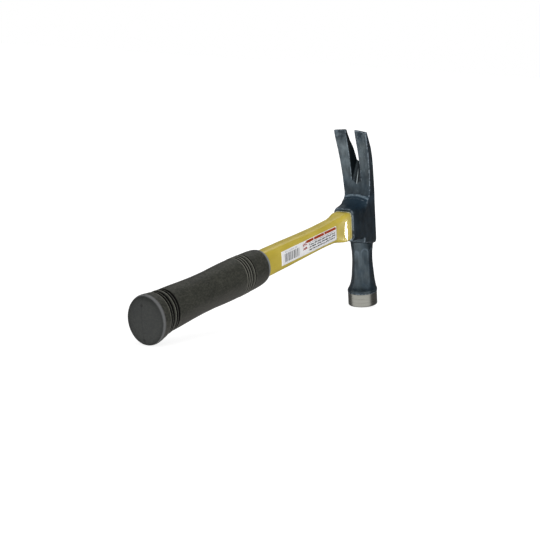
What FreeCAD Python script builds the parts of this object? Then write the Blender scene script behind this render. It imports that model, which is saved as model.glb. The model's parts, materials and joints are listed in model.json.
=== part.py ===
import FreeCAD, Part
import math
import os
import Sketcher

# A straight-claw hammer with a painted forged head, a fibreglass handle and a rubber grip.
# Everything is drawn in the head's own frame, in millimetres: the centre of the striking face is
# the origin, +Z runs up the head to the claw, and the handle runs along -X. A placement then
# tips the whole tool onto the rim of its face and the underside of its butt, as it lies.

os.makedirs("parts", exist_ok=True)
doc = FreeCAD.newDocument("ClawHammer")

DIMENSIONS = {
    # Striking end: a round face with a turned edge, a ground band and a ridge above it.
    "face_radius": 14.3,
    "face_flat_radius": 13.1,
    "face_edge_height": 1.2,
    "band_top": 12.8,
    "ridge_radius": 14.6,
    "ridge_height": 15.6,
    # The neck stands behind the middle of the face, and has eight shallow flats.
    "neck_axis": 2.6,
    "neck_top": 68.0,
    "waist_height": 45.2,
    "flat_start_reach": 12.6,
    "flat_start_height": 21.0,
    "flat_waist_reach": 9.65,
    "flat_end_reach": 11.6,
    "flat_clear": 20.0,
    "flat_width": 40.0,
    # Nail slot: its outline on the handle side of the claw and in a plane behind the claw.
    "slot_near_plane": -2.0,
    "slot_near_foot": 121.0,
    "slot_near_corner": 125.2,
    "slot_near_corner_half": 4.95,
    "slot_near_tip_half": 4.7,
    "slot_far_plane": 9.5,
    "slot_far_foot": 155.5,
    "slot_far_corner": 158.6,
    "slot_far_corner_half": 0.6,
    "slot_far_tip_half": 0.7,
    "slot_open": 184.0,
    "slot_mouth_reach": 14.0,
    "tine_inner_height": 178.5,
    "tine_outer_height": 176.3,
    "tine_trim_half": 21.0,
    "tine_trim_top": 190.0,
    "tine_trim_depth": 60.0,
    # Handle core, and where it starts and stops along the handle.
    "core_half": 4.6,
    "core_low": 80.9,
    "core_high": 95.7,
    "core_corner": 2.2,
    "core_head_end": 10.8,
    "core_length": 364.0,
    # Cast resin: from the mouth of the eye to just under the far side of the head.
    "resin_end": 12.1,
    "resin_low": 60.0,
    "resin_high": 120.0,
    "resin_width": 40.0,
    # Label on the near cheek of the handle.
    "label_near_x": -57.0,
    "label_far_x": -156.0,
    "label_low": 81.0,
    "label_high": 94.6,
    "label_depth": 0.2,
    "cheek_half": 8.2,
    # Bead round the mouth of the eye.
    "rim_plane": -29.5,
    "bead_thickness": 1.1,
    "bead_half": 9.9,
    "bead_low": 72.7,
    "bead_high": 101.9,
    "bead_corner": 5.0,
    # How the tool lies: the head leans back by this much, in degrees.
    "rest_tilt": 10.475,
}

# Cross sections of the eye block and claw, looking down the head: height, x of the handle-side
# face, half width, x of the outer edge at the sides, and x of the crown down the middle.
CLAW_FIELDS = ("height", "inner", "half", "edge", "crown")
CLAW_SECTIONS = (
    (66.0, -12.0, 13.0, 9.8, 15.0),
    (96.0, -12.0, 13.0, 9.9, 14.8),
    (104.0, -9.2, 13.3, 9.4, 14.0),
    (111.0, -4.6, 14.2, 8.2, 12.6),
    (118.0, -2.0, 14.9, 7.0, 10.9),
    (130.0, -2.4, 15.6, 5.5, 8.4),
    (145.0, -3.9, 16.5, 3.4, 5.4),
    (158.0, -6.2, 17.2, 0.2, 1.7),
    (168.0, -8.5, 17.75, -4.2, -3.1),
    (180.0, -10.6, 18.3, -9.4, -8.7),
)
BLOCK_FOOT_SECTION = (61.2, -5.0, 10.2, 10.0, 13.8)

# Circles up the neck: height, x of the middle, and radius.
NECK_SECTIONS = (
    (15.6, 0.3, 14.5),
    (17.2, 0.8, 13.7),
    (19.6, 1.5, 12.8),
    (24.4, 2.2, 11.75),
    (33.7, 2.5, 10.9),
    (45.2, 2.6, 10.2),
    (57.0, 2.8, 10.7),
    (68.0, 3.0, 12.0),
)

# Rounded rectangles across the handle axis: x, half width, bottom, top, corner radius.
BOX_FIELDS = ("plane", "half", "low", "high", "corner")
COLLAR_SECTIONS = (
    (-29.5, 10.4, 71.6, 104.2, 4.5),
    (-20.0, 12.9, 71.5, 104.2, 4.6),
    (-8.0, 13.0, 68.0, 107.4, 4.2),
)
EYE_SECTIONS = (
    (-31.0, 9.2, 73.7, 100.9, 4.4),
    (15.0, 8.4, 76.6, 98.0, 3.6),
)
JACKET_SECTIONS = (
    (-14.0, 8.4, 75.6, 99.0, 3.6),
    (-29.5, 8.7, 74.2, 100.4, 3.8),
    (-31.5, 9.0, 73.4, 100.9, 3.8),
    (-37.9, 9.0, 73.0, 101.2, 3.8),
    (-46.0, 8.3, 73.8, 100.5, 3.8),
    (-56.0, 8.2, 76.5, 99.3, 3.6),
    (-85.0, 8.2, 76.9, 98.7, 3.5),
    (-120.0, 8.2, 76.2, 99.4, 3.6),
    (-160.0, 8.2, 75.3, 100.3, 3.8),
    (-356.0, 8.2, 75.3, 100.5, 3.8),
)

# Ovals across the grip: x, half height, and height of the middle. The half width is a fixed share
# of the half height.
OVAL_FIELDS = ("plane", "tall", "middle")
GRIP_OVALITY = 0.84
GRIP_SECTIONS = (
    (-181.5, 14.7, 87.2),
    (-184.0, 16.1, 87.2),
    (-188.0, 17.0, 87.2),
    (-200.0, 17.8, 87.3),
    (-235.0, 18.3, 87.5),
    (-270.0, 17.5, 87.7),
    (-300.0, 18.0, 87.9),
    (-320.0, 19.1, 88.0),
    (-335.0, 19.6, 88.0),
    (-343.0, 20.2, 87.7),
    (-349.0, 21.1, 87.4),
    (-353.0, 21.9, 87.2),
    (-356.5, 22.5, 87.1),
    (-359.5, 22.8, 87.0),
    (-362.5, 22.1, 86.9),
    (-365.0, 19.8, 86.9),
    (-366.6, 15.5, 86.8),
    (-367.5, 10.0, 86.8),
    (-367.9, 5.0, 86.8),
)
# Grooves round the grip: x, half height of the rubber left at the bottom, and height of the middle.
GROOVE_WIDTH = 1.3
GROOVE_CLEAR = 26.0
GROOVES = (
    (-210.6, 17.4, 87.4),
    (-215.7, 17.5, 87.4),
    (-219.3, 17.55, 87.4),
    (-222.8, 17.6, 87.4),
    (-334.6, 18.7, 88.0),
    (-338.2, 18.95, 87.9),
    (-343.8, 19.4, 87.7),
    (-347.6, 20.0, 87.5),
)

MESH_TOLERANCE = 0.02

BODIES = []


def add_table(prefix, fields, rows):
    """Give each number of a table of sections a cell of its own."""
    for index, row in enumerate(rows):
        for field, value in zip(fields, row):
            DIMENSIONS[f"{prefix}_{field}_{index}"] = value


add_table("claw", CLAW_FIELDS, CLAW_SECTIONS)
add_table("block_foot", CLAW_FIELDS, [BLOCK_FOOT_SECTION])
add_table("neck", ("height", "middle", "radius"), NECK_SECTIONS)
add_table("collar", BOX_FIELDS, COLLAR_SECTIONS)
add_table("eye", BOX_FIELDS, EYE_SECTIONS)
add_table("jacket", BOX_FIELDS, JACKET_SECTIONS)
DIMENSIONS["grip_ovality"] = GRIP_OVALITY
DIMENSIONS["groove_width"] = GROOVE_WIDTH
DIMENSIONS["groove_clear"] = GROOVE_CLEAR
add_table("grip", OVAL_FIELDS, GRIP_SECTIONS)
add_table("groove", OVAL_FIELDS, GROOVES)

sheet = doc.addObject("Spreadsheet::Sheet", "dims")
for row, (alias, value) in enumerate(DIMENSIONS.items(), start=1):
    sheet.set(f"A{row}", alias)
    sheet.set(f"B{row}", str(value))
    sheet.setAlias(f"B{row}", alias)
doc.recompute()


def size(alias):
    """The number in a cell; a leading minus mirrors it, and an empty name is the axis."""
    if not alias:
        return 0.0
    if alias.startswith("-"):
        return -float(sheet.get(alias[1:]))
    return float(sheet.get(alias))


def formula(alias):
    if alias.startswith("-"):
        return f"-dims.{alias[1:]}"
    return f"dims.{alias}"


def new_body(name):
    body = doc.addObject("PartDesign::Body", name)
    body.Label = name
    BODIES.append(body)
    return body


def sketch_on(body, name, role, offset=""):
    """A sketch on one of the body's own origin planes, moved along its normal by a cell."""
    sketch = body.newObject("Sketcher::SketchObject", name)
    plane = next(item for item in body.Origin.OriginFeatures if item.Role == role)
    sketch.AttachmentSupport = (plane, [""])
    sketch.MapMode = "FlatFace"
    if offset:
        sketch.setExpression("AttachmentOffset.Base.z", formula(offset))
    return sketch


def bind(sketch, kind, geometry, position, alias):
    """Tie one coordinate of a point to a cell, or put the point on the axis."""
    if not alias:
        axis = -2 if kind == "DistanceX" else -1
        sketch.addConstraint(Sketcher.Constraint("PointOnObject", geometry, position, axis))
        return
    item = Sketcher.Constraint(kind, -1, 1, geometry, position, size(alias))
    index = sketch.addConstraint(item)
    sketch.setExpression(f"Constraints[{index}]", formula(alias))


def pin(sketch, geometry, position, across, up):
    bind(sketch, "DistanceX", geometry, position, across)
    bind(sketch, "DistanceY", geometry, position, up)


def point(corner):
    return FreeCAD.Vector(size(corner[0]), size(corner[1]), 0)


def outline(sketch, corners):
    """Close a loop through corners given as pairs of cells. A corner with two more cells
    starts an arc, which passes through the point that they name."""
    edges = []
    for corner, following in zip(corners, corners[1:] + corners[:1]):
        start = point(corner)
        end = point(following)
        if len(corner) == 4:
            middle = point(corner[2:])
            geometry = sketch.addGeometry(Part.Arc(start, middle, end), False)
            on_arc = sketch.addGeometry(Part.Point(middle), True)
            pin(sketch, on_arc, 1, corner[2], corner[3])
            sketch.addConstraint(Sketcher.Constraint("PointOnObject", on_arc, 1, geometry))
        else:
            geometry = sketch.addGeometry(Part.LineSegment(start, end), False)
        first = 1 if sketch.getPoint(geometry, 1).distanceToPoint(start) < 1e-6 else 2
        edges.append((geometry, first, 3 - first))
    for index, (geometry, first, _) in enumerate(edges):
        before, _, last = edges[index - 1]
        sketch.addConstraint(Sketcher.Constraint("Coincident", before, last, geometry, first))
        pin(sketch, geometry, first, corners[index][0], corners[index][1])


def loft(body, kind, name, sketches, ruled=False):
    feature = body.newObject(kind, name)
    feature.Profile = (sketches[0], [""])
    feature.Sections = [(sketch, [""]) for sketch in sketches[1:]]
    feature.Ruled = ruled
    return feature


def crowned_section(body, prefix, index):
    """Flat on the handle side, straight sides, and a crowned outer face."""
    inner = f"{prefix}_inner_{index}"
    half = f"{prefix}_half_{index}"
    edge = f"{prefix}_edge_{index}"
    crown = f"{prefix}_crown_{index}"
    name = f"{prefix}_section_{index}"
    sketch = sketch_on(body, name, "XY_Plane", f"{prefix}_height_{index}")
    corners = [
        (inner, f"-{half}"),
        (edge, f"-{half}", crown, ""),
        (edge, half),
        (inner, half),
    ]
    outline(sketch, corners)
    return sketch


def rounded_box(body, name, plane, half, low, high, corner):
    """A rounded rectangle across the handle, with its four corner arcs pinned by radius."""
    sketch = sketch_on(body, name, "YZ_Plane", plane)
    reach = size(half)
    bottom = size(low)
    top = size(high)
    radius = size(corner)
    side = reach - radius
    arc_spots = (
        (side, bottom + radius, -math.pi / 2),
        (side, top - radius, 0.0),
        (-side, top - radius, math.pi / 2),
        (-side, bottom + radius, math.pi),
    )
    arcs = []
    for across, up, start in arc_spots:
        circle = Part.Circle(FreeCAD.Vector(across, up, 0), FreeCAD.Vector(0, 0, 1), radius)
        arcs.append(sketch.addGeometry(Part.ArcOfCircle(circle, start, start + math.pi / 2), False))
    lines = []
    for index, arc in enumerate(arcs):
        following = arcs[(index + 1) % 4]
        start = sketch.getPoint(arc, 2)
        end = sketch.getPoint(following, 1)
        line = sketch.addGeometry(Part.LineSegment(start, end), False)
        lines.append(line)
        sketch.addConstraint(Sketcher.Constraint("Tangent", arc, 2, line, 1))
        sketch.addConstraint(Sketcher.Constraint("Tangent", line, 2, following, 1))
    for line, kind in zip(lines, ("Vertical", "Horizontal", "Vertical", "Horizontal")):
        sketch.addConstraint(Sketcher.Constraint(kind, line))
    for arc in arcs[1:]:
        sketch.addConstraint(Sketcher.Constraint("Equal", arcs[0], arc))
    index = sketch.addConstraint(Sketcher.Constraint("Radius", arcs[0], radius))
    sketch.setExpression(f"Constraints[{index}]", formula(corner))
    bind(sketch, "DistanceX", lines[0], 1, half)
    bind(sketch, "DistanceX", lines[2], 1, f"-{half}")
    bind(sketch, "DistanceY", lines[1], 1, high)
    bind(sketch, "DistanceY", lines[3], 1, low)
    return sketch


def box_sections(body, prefix, count):
    sketches = []
    for index in range(count):
        cells = [f"{prefix}_{field}_{index}" for field in BOX_FIELDS]
        sketches.append(rounded_box(body, f"{prefix}_section_{index}", *cells))
    return sketches


def oval(sketch, tall, middle):
    """An upright ellipse with its half height and the height of its middle bound to cells."""
    centre_height = size(middle)
    major = size(tall)
    minor = major * GRIP_OVALITY
    centre = FreeCAD.Vector(0, centre_height, 0)
    top = FreeCAD.Vector(0, centre_height + major, 0)
    side = FreeCAD.Vector(-minor, centre_height, 0)
    shape = sketch.addGeometry(Part.Ellipse(top, side, centre), False)
    pin(sketch, shape, 3, "", middle)
    sketch.exposeInternalGeometry(shape)
    height_line = shape + 1
    width_line = shape + 2
    sketch.addConstraint(Sketcher.Constraint("Vertical", height_line))
    for line, share in ((height_line, "2"), (width_line, "2 * dims.grip_ovality")):
        start = sketch.getPoint(line, 1)
        length = start.distanceToPoint(sketch.getPoint(line, 2))
        index = sketch.addConstraint(Sketcher.Constraint("Distance", line, length))
        sketch.setExpression(f"Constraints[{index}]", f"{share} * dims.{tall}")


def circle_section(body, prefix, index):
    """A circle across the neck, with its middle and radius bound to cells."""
    middle = f"{prefix}_middle_{index}"
    radius = f"{prefix}_radius_{index}"
    sketch = sketch_on(body, f"{prefix}_section_{index}", "XY_Plane", f"{prefix}_height_{index}")
    centre = FreeCAD.Vector(size(middle), 0, 0)
    normal = FreeCAD.Vector(0, 0, 1)
    shape = sketch.addGeometry(Part.Circle(centre, normal, size(radius)), False)
    pin(sketch, shape, 3, middle, "")
    index = sketch.addConstraint(Sketcher.Constraint("Radius", shape, size(radius)))
    sketch.setExpression(f"Constraints[{index}]", formula(radius))
    return sketch


def combine(kind, name, base, tool):
    feature = doc.addObject(kind, name)
    feature.Label = name
    feature.Base = base
    feature.Tool = tool
    return feature


def build_striking_end(body):
    """The turned end: a flat face, its bevelled edge, the ground band and the ridge."""
    profile = sketch_on(body, "striking_profile", "XZ_Plane")
    corners = [
        ("", ""),
        ("face_flat_radius", ""),
        ("face_radius", "face_edge_height"),
        ("face_radius", "band_top"),
        ("ridge_radius", "ridge_height"),
        ("", "ridge_height"),
    ]
    outline(profile, corners)
    turned = body.newObject("PartDesign::Revolution", "striking_end")
    turned.Profile = profile
    turned.ReferenceAxis = (profile, ["V_Axis"])
    turned.Angle = 360.0
    doc.recompute()


def build_neck(body):
    """A waisted round neck, with eight shallow flats along it."""
    sections = [circle_section(body, "neck", index) for index in range(len(NECK_SECTIONS))]
    loft(body, "PartDesign::AdditiveLoft", "neck", sections)
    doc.recompute()

    flat = sketch_on(body, "neck_flat_profile", "XZ_Plane")
    flat.setExpression("AttachmentOffset.Base.x", formula("neck_axis"))
    corners = [
        ("flat_start_reach", "flat_start_height", "flat_waist_reach", "waist_height"),
        ("flat_end_reach", "neck_top"),
        ("flat_clear", "neck_top"),
        ("flat_clear", "flat_start_height"),
    ]
    outline(flat, corners)
    pocket = body.newObject("PartDesign::Pocket", "neck_flat")
    pocket.Profile = flat
    pocket.Midplane = True
    pocket.setExpression("Length", "dims.flat_width")
    doc.recompute()
    flats = body.newObject("PartDesign::PolarPattern", "neck_flats")
    flats.Originals = [pocket]
    flats.Axis = (flat, ["V_Axis"])
    flats.Angle = 360.0
    flats.Occurrences = 8
    body.Tip = flats
    doc.recompute()


def build_nail_slot(body):
    """A slot as wide as a nail head at its mouth, narrowing to a crease behind the claw."""
    sketches = []
    for side in ("near", "far"):
        sketch = sketch_on(body, f"slot_{side}", "YZ_Plane", f"slot_{side}_plane")
        corner = f"slot_{side}_corner_half"
        tip = f"slot_{side}_tip_half"
        corners = [
            ("", f"slot_{side}_foot"),
            (corner, f"slot_{side}_corner"),
            (tip, "slot_open"),
            (f"-{tip}", "slot_open"),
            (f"-{corner}", f"slot_{side}_corner"),
        ]
        outline(sketch, corners)
        sketches.append(sketch)
    loft(body, "PartDesign::SubtractiveLoft", "nail_slot", sketches, ruled=True)
    doc.recompute()
    mouth = body.newObject("PartDesign::Pocket", "nail_slot_mouth")
    mouth.Profile = sketches[0]
    mouth.setExpression("Length", "dims.slot_mouth_reach")
    doc.recompute()


def build_tine_tops(body):
    sketch = sketch_on(body, "tine_tops", "YZ_Plane")
    corners = [
        ("", "tine_inner_height"),
        ("tine_trim_half", "tine_outer_height"),
        ("tine_trim_half", "tine_trim_top"),
        ("-tine_trim_half", "tine_trim_top"),
        ("-tine_trim_half", "tine_outer_height"),
    ]
    outline(sketch, corners)
    pocket = body.newObject("PartDesign::Pocket", "tine_trim")
    pocket.Profile = sketch
    pocket.Midplane = True
    pocket.setExpression("Length", "dims.tine_trim_depth")
    doc.recompute()


def build_head():
    body = new_body("head_forging")
    build_striking_end(body)
    build_neck(body)
    foot = [crowned_section(body, "block_foot", 0), crowned_section(body, "claw", 0)]
    loft(body, "PartDesign::AdditiveLoft", "block_foot", foot, ruled=True)
    doc.recompute()
    sections = [crowned_section(body, "claw", index) for index in range(len(CLAW_SECTIONS))]
    loft(body, "PartDesign::AdditiveLoft", "block_and_claw", sections, ruled=True)
    doc.recompute()
    collar = box_sections(body, "collar", len(COLLAR_SECTIONS))
    loft(body, "PartDesign::AdditiveLoft", "collar", collar, ruled=True)
    doc.recompute()
    build_nail_slot(body)
    build_tine_tops(body)
    return body


def build_box_loft(name, prefix, count, ruled=False):
    body = new_body(name)
    sections = box_sections(body, prefix, count)
    loft(body, "PartDesign::AdditiveLoft", f"{name}_loft", sections, ruled)
    doc.recompute()
    return body


def build_core():
    body = new_body("handle_core")
    cells = ("core_head_end", "core_half", "core_low", "core_high", "core_corner")
    sketch = rounded_box(body, "core_section", *cells)
    pad = body.newObject("PartDesign::Pad", "core_rod")
    pad.Profile = sketch
    pad.Reversed = True
    pad.setExpression("Length", "dims.core_length")
    doc.recompute()
    return body


def build_resin_span():
    """The stretch of the eye that the resin fills."""
    body = new_body("resin_span")
    sketch = sketch_on(body, "resin_outline", "XZ_Plane")
    corners = [
        ("rim_plane", "resin_low"),
        ("resin_end", "resin_low"),
        ("resin_end", "resin_high"),
        ("rim_plane", "resin_high"),
    ]
    outline(sketch, corners)
    pad = body.newObject("PartDesign::Pad", "resin_stretch")
    pad.Profile = sketch
    pad.Midplane = True
    pad.setExpression("Length", "dims.resin_width")
    doc.recompute()
    return body


def build_bead():
    body = new_body("bead_blank")
    cells = ("rim_plane", "bead_half", "bead_low", "bead_high", "bead_corner")
    sketch = rounded_box(body, "bead_section", *cells)
    pad = body.newObject("PartDesign::Pad", "bead_ring")
    pad.Profile = sketch
    pad.Reversed = True
    pad.setExpression("Length", "dims.bead_thickness")
    doc.recompute()
    return body


def build_grip():
    body = new_body("grip_blank")
    sections = []
    for index in range(len(GRIP_SECTIONS)):
        sketch = sketch_on(body, f"grip_section_{index}", "YZ_Plane", f"grip_plane_{index}")
        oval(sketch, f"grip_tall_{index}", f"grip_middle_{index}")
        sections.append(sketch)
    loft(body, "PartDesign::AdditiveLoft", "grip_sleeve", sections)
    doc.recompute()
    for index in range(len(GROOVES)):
        sketch = sketch_on(body, f"groove_section_{index}", "YZ_Plane", f"groove_plane_{index}")
        oval(sketch, f"groove_tall_{index}", f"groove_middle_{index}")
        oval(sketch, "groove_clear", f"groove_middle_{index}")
        groove = body.newObject("PartDesign::Pocket", f"groove_{index}")
        groove.Profile = sketch
        groove.Midplane = True
        groove.setExpression("Length", "dims.groove_width")
        doc.recompute()
    return body


def build_label():
    body = new_body("label")
    sketch = sketch_on(body, "label_outline", "XZ_Plane", "cheek_half")
    corners = [
        ("label_far_x", "label_low"),
        ("label_near_x", "label_low"),
        ("label_near_x", "label_high"),
        ("label_far_x", "label_high"),
    ]
    outline(sketch, corners)
    pad = body.newObject("PartDesign::Pad", "label_film")
    pad.Profile = sketch
    pad.setExpression("Length", "dims.label_depth")
    doc.recompute()
    return body


forging = build_head()
eye_plug = build_box_loft("eye_plug", "eye", len(EYE_SECTIONS), ruled=True)
jacket_blank = build_box_loft("jacket_blank", "jacket", len(JACKET_SECTIONS), ruled=True)
core = build_core()
resin_span = build_resin_span()
bead_blank = build_bead()
grip_blank = build_grip()
label = build_label()

head = combine("Part::Cut", "head", forging, eye_plug)
handle_jacket = combine("Part::Cut", "handle_jacket", jacket_blank, core)
resin_block = combine("Part::Common", "resin_block", eye_plug, resin_span)
resin_ring = combine("Part::Cut", "resin_ring", resin_block, core)
epoxy_fill = combine("Part::Cut", "epoxy_fill", resin_ring, jacket_blank)
seal_bead = combine("Part::Cut", "seal_bead", bead_blank, jacket_blank)
grip = combine("Part::Cut", "grip", grip_blank, jacket_blank)

NODES = [head, core, handle_jacket, epoxy_fill, seal_bead, grip, label]


def place(placement):
    """Move every drawn body together; the cut pieces follow them."""
    for body in BODIES:
        body.Placement = placement
    doc.recompute()


def corners_of(nodes):
    """Lowest and highest corners of the real surfaces."""
    points = []
    for node in nodes:
        points += node.Shape.tessellate(MESH_TOLERANCE)[0]
    lowest = [min(spot[axis] for spot in points) for axis in range(3)]
    highest = [max(spot[axis] for spot in points) for axis in range(3)]
    return lowest, highest


def check(nodes):
    for item in doc.Objects:
        if "Invalid" in item.State or "Error" in item.State:
            raise RuntimeError(f"{item.Name} failed: {item.State}")
    for node in nodes:
        if node.Shape.isNull() or not node.Shape.isValid():
            raise RuntimeError(f"{node.Label} has no valid shape")


# The head leans back, then the whole tool is set on the floor round the origin.
lean = FreeCAD.Rotation(FreeCAD.Vector(0, 1, 0), -size("rest_tilt"))
place(FreeCAD.Placement(FreeCAD.Vector(), lean))
low, high = corners_of(NODES)
to_origin = FreeCAD.Vector(-(low[0] + high[0]) / 2, -(low[1] + high[1]) / 2, -low[2])
place(FreeCAD.Placement(to_origin, lean))

check(NODES)
print("moved to the origin by", [round(value, 4) for value in to_origin])
print("lowest point of head", round(corners_of([head])[0][2], 4))
print("lowest point of grip", round(corners_of([grip])[0][2], 4))
for node in NODES:
    low, high = corners_of([node])
    print(node.Label, len(node.Shape.Solids), round(node.Shape.Volume, 1),
          [round(value, 2) for value in low + high])
    node.Shape.exportStep(f"parts/{node.Label}.step")
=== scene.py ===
import json
import math

import bpy
import numpy as np
from mathutils import Matrix, Vector


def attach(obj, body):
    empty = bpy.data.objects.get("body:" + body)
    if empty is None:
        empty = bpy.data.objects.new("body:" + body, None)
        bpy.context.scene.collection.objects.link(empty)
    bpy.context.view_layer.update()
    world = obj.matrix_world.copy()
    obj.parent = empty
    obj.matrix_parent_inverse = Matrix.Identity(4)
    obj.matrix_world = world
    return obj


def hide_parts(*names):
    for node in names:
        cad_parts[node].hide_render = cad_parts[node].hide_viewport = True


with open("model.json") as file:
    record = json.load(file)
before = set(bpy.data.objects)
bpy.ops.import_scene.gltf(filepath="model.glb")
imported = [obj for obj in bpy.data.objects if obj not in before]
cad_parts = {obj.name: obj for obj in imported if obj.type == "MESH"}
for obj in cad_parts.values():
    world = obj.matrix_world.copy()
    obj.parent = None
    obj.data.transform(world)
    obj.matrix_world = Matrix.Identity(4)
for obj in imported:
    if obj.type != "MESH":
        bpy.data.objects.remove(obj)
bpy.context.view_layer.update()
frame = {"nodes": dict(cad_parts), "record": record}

# Every piece is drawn in the head's own frame, in millimetres: the centre of the striking face is
# the origin, +Z runs up the head to the claw, the handle runs along -X, and the label faces -Y.
MM = 0.001
MOUNTS = {mount["name"]: mount for mount in frame["record"]["mounts"]}
FACE_CENTRE = Vector(MOUNTS["striking_face"]["pos_m"])
HEAD_UP = -Vector(MOUNTS["striking_face"]["axis"]).normalized()
HEAD_SIDE = Vector((0, 1, 0))
HEAD_FRONT = HEAD_SIDE.cross(HEAD_UP).normalized()
HEAD_TO_ROW = Matrix.Translation(FACE_CENTRE) @ Matrix(
    (HEAD_FRONT, HEAD_SIDE, HEAD_UP)).transposed().to_4x4()

# Along the head, from the paint line at the bottom of the bell to the eye block.
PAINT_LINE = 12.8
FACE_RADIUS = 14.3
FACE_FLAT_RADIUS = 13.1
FACE_EDGE = 1.2
FACE_RINGS = (4.0, 8.0, 11.5, FACE_FLAT_RADIUS - 0.3)
BAND_HEIGHTS = (2.2, 4.0, 6.0, 8.0, 10.0, 12.0, 12.6)
BAND_TOP_RADII = (FACE_RADIUS - 0.15, 8.0)
BAND_TOP = PAINT_LINE + 0.05
BELL_HEIGHTS = (12.8, 14.2, 15.2, 16.4, 18.3, 21.4, 24.4, 28.0, 33.7, 40.0, 46.0, 52.0, 58.0, 70.0)
BELL_RADII = (14.36, 14.56, 14.6, 14.15, 13.25, 12.35, 11.8, 11.35, 10.9, 10.45, 10.2, 10.3, 10.75, 12.0)
BELL_MIDDLE = (0.0, 0.1, 0.3, 0.5, 1.1, 1.8, 2.2, 2.4, 2.5, 2.55, 2.6, 2.7, 2.9, 3.1)
FLAT_HEIGHTS = (12.0, 20.5, 24.4, 28.0, 33.7, 40.0, 46.0, 51.0, 54.5, 57.5, 61.0, 70.0)
FLAT_REACHES = (20.0, 13.0, 11.5, 10.95, 10.4, 9.9, 9.65, 9.75, 10.05, 10.8, 12.2, 15.0)

# The flats towards and away from the handle stand a little further out than the ones at the
# sides, and the four between them a little further in.
BACK_FLAT_EXTRA = 0.3
CORNER_FLAT_CUT = 0.15

# Eye block and claw, looking down the head.
BLOCK_HEIGHTS = (59.0, 66.0, 80.0, 96.0, 104.0, 111.0, 118.0, 130.0, 145.0, 158.0, 168.0, 174.0, 180.0)
BLOCK_HALF = (11.2, 13.0, 13.0, 13.0, 13.3, 14.2, 14.9, 15.6, 16.5, 17.2, 17.75, 18.05, 18.3)
BLOCK_EDGE = (9.6, 10.0, 10.0, 10.0, 9.5, 8.3, 7.1, 5.6, 3.5, 0.3, -4.1, -6.9, -9.3)
BLOCK_CROWN = (13.4, 15.0, 15.0, 14.8, 14.0, 12.6, 10.9, 8.4, 5.4, 1.7, -3.1, -6.2, -8.7)
INNER_HEIGHTS = (59.0, 66.0, 98.0, 104.0, 107.5, 110.2, 111.2, 112.0, 113.2, 118.0, 130.0, 145.0,
                 158.0, 168.0, 174.0, 180.0)
INNER_FACE = (-9.6, -12.0, -12.0, -8.9, -6.5, -4.9, -4.5, -3.6, -2.9, -2.0, -2.4, -3.9,
              -6.2, -8.5, -9.7, -10.6)
CROWN_POWER = 2.4
ROOT_SAG = 3.0
BLOCK_FOOT = 63.4
BLOCK_FOOT_SLOPE = 0.22
NECK_TOP = 70.0
TINE_TOP = 178.5
TINE_SLOPE = 0.107

# Nail slot: its outline in a plane on the handle side and in one on the far side.
SLOT_PLANES = (-2.0, 9.5)
SLOT_NEAR = ((121.0, 0.0), (125.2, 4.95), (184.0, 4.7))
SLOT_FAR = ((155.5, 0.0), (158.6, 0.6), (184.0, 0.7))
SLOT_EDGE = 0.35

# Collar round the handle, and the tapering eye through it.
RIM_PLANE = -29.5
COLLAR_PLACES = (-29.5, -25.0, -20.0, -8.0)
COLLAR_HALF = (10.4, 12.0, 12.9, 13.0)
COLLAR_LOW = (71.6, 71.6, 71.5, 69.0)
COLLAR_HIGH = (104.2, 104.1, 104.2, 107.4)
COLLAR_CORNER = 5.0
COLLAR_END = -8.0
EYE_PLACES = (-31.0, 15.0)
EYE_HALF = (9.2, 8.4)
EYE_LOW = (73.7, 76.6)
EYE_HIGH = (100.9, 98.0)
EYE_CORNER = 4.0
EYE_MIDDLE = 87.3

# Handle jacket: an upright rounded bar that flares to a shoulder at the eye, and its nose in there
# as place, half width and half height.
JACKET_PLACES = (-356.0, -200.0, -170.0, -160.0, -140.0, -120.0, -100.0, -80.0, -70.0, -60.0, -55.0,
                 -50.0, -45.0, -40.0, -36.0, -33.0, -30.0, -29.6)
JACKET_TALL = (12.5, 12.6, 12.6, 12.45, 12.15, 11.65, 11.2, 10.95, 11.05, 11.28, 11.58,
               12.12, 12.8, 13.68, 14.05, 13.8, 13.6, 13.4)
JACKET_CENTRE = (87.9, 87.85, 87.8, 87.8, 87.8, 87.8, 87.8, 87.9, 87.95, 87.92, 87.78,
                 87.43, 87.1, 87.08, 87.15, 87.3, 87.4, 87.4)
JACKET_HALF = 8.2
JACKET_POWER = 3.6
SHOULDER_POWER = 7.5
FLARE_POWER = 1.5
SHOULDER_START = -54.0
SHOULDER_PLACE = -37.9
SHOULDER_HALF = 9.0
SHOULDER_RISE = 0.3
SHOULDER_DIP = 0.5
SHOULDER_MIDDLE = 85.4
SHOULDER_REACH = 9.6
NOSE = ((-32.6, 8.95, 13.7), (-31.8, 8.7, 13.5), (-29.6, 8.6, 13.2), (-18.0, 8.4, 12.4), (-14.0, 8.0, 11.4))

# Grip: ovals along the axis from its mouth, then the domed butt.
GRIP_OVALITY = 0.84
GRIP_MOUTH = -181.2
GRIP_MOUTH_END = -186.0
BUTT_START = -354.0
BUTT_DEPTH = 13.9
GRIP_PLACES = (-181.2, -181.8, -183.0, -185.5, -189.0, -195.0, -202.0, -212.0, -222.0, -235.0, -252.0,
               -268.0, -282.0, -300.0, -320.0, -335.0, -343.0, -349.0, -353.0, -356.5, -359.5,
               -362.5, -365.0, -366.6, -367.5, -367.9)
GRIP_TALL = (13.7, 14.7, 15.6, 16.4, 17.1, 17.6, 17.85, 18.05, 18.2, 18.3, 18.0,
             17.55, 17.6, 18.1, 19.05, 19.6, 20.2, 21.1, 21.9, 22.5, 22.75,
             22.1, 19.8, 15.5, 10.0, 5.0)
GRIP_MIDDLE_PLACES = (-369.0, -355.0, -335.0, -270.0, -181.0)
GRIP_MIDDLE = (86.8, 87.1, 88.0, 87.7, 87.2)
BUTT_DIMPLES = (101.5, 70.5)
FRONT_GROOVES = (-210.6, -215.7, -219.3, -222.8)
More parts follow.
